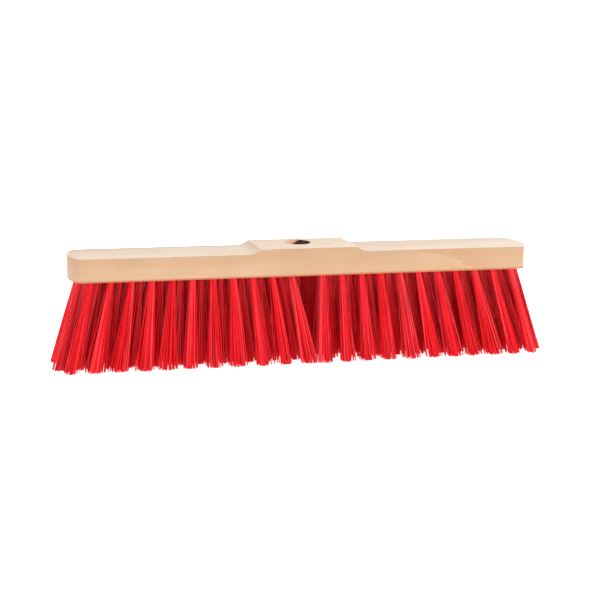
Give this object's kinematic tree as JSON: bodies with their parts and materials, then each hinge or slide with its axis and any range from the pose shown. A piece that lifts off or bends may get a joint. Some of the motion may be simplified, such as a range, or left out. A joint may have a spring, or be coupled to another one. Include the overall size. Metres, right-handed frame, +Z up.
{
  "type": "push broom head",
  "caption": "Wooden push broom head with a raised saddle, a slanted handle bore and rows of stiff red bristle tufts that splay outwards.",
  "frame": {"origin": "centre of the rectangle that the bristle tips rest on, at tip level", "axes": "+X along the stock, +Z up, -Y the front (away from the sweeper); the handle leaves its bore upwards and towards +Y"},
  "size_m": [0.54, 0.0864, 0.123],
  "materials": {
    "beech": "raw, planed",
    "red_filament": "satin to glossy",
    "anchor_steel": "drawn wire, satin"
  },
  "bodies": {
    "root": {"stock": "beech", "front_tuft_01": "red_filament", "front_tuft_02": "red_filament", "front_tuft_03": "red_filament", "front_tuft_04": "red_filament", "front_tuft_05": "red_filament", "front_tuft_06": "red_filament", "front_tuft_07": "red_filament", "front_tuft_08": "red_filament", "front_tuft_09": "red_filament", "front_tuft_10": "red_filament", "front_tuft_11": "red_filament", "front_tuft_12": "red_filament", "front_tuft_13": "red_filament", "front_tuft_14": "red_filament", "front_tuft_15": "red_filament", "front_tuft_16": "red_filament", "front_tuft_17": "red_filament", "front_tuft_18": "red_filament", "front_tuft_19": "red_filament", "front_tuft_20": "red_filament", "front_tuft_21": "red_filament", "front_tuft_22": "red_filament", "second_row_tufts_left": "red_filament", "second_row_tufts_right": "red_filament", "middle_row_tufts_left": "red_filament", "middle_row_tufts_right": "red_filament", "fourth_row_tufts_left": "red_filament", "fourth_row_tufts_right": "red_filament", "front_anchor_01": "anchor_steel", "front_anchor_02": "anchor_steel", "front_anchor_03": "anchor_steel", "front_anchor_04": "anchor_steel", "front_anchor_05": "anchor_steel", "front_anchor_06": "anchor_steel", "front_anchor_07": "anchor_steel", "front_anchor_08": "anchor_steel", "front_anchor_09": "anchor_steel", "front_anchor_10": "anchor_steel", "front_anchor_11": "anchor_steel", "front_anchor_12": "anchor_steel", "front_anchor_13": "anchor_steel", "front_anchor_14": "anchor_steel", "front_anchor_15": "anchor_steel", "front_anchor_16": "anchor_steel", "front_anchor_17": "anchor_steel", "front_anchor_18": "anchor_steel", "front_anchor_19": "anchor_steel", "front_anchor_20": "anchor_steel", "front_anchor_21": "anchor_steel", "front_anchor_22": "anchor_steel", "back_row_tufts_left": "red_filament", "back_row_tufts_right": "red_filament"}
  },
  "joints": []
}
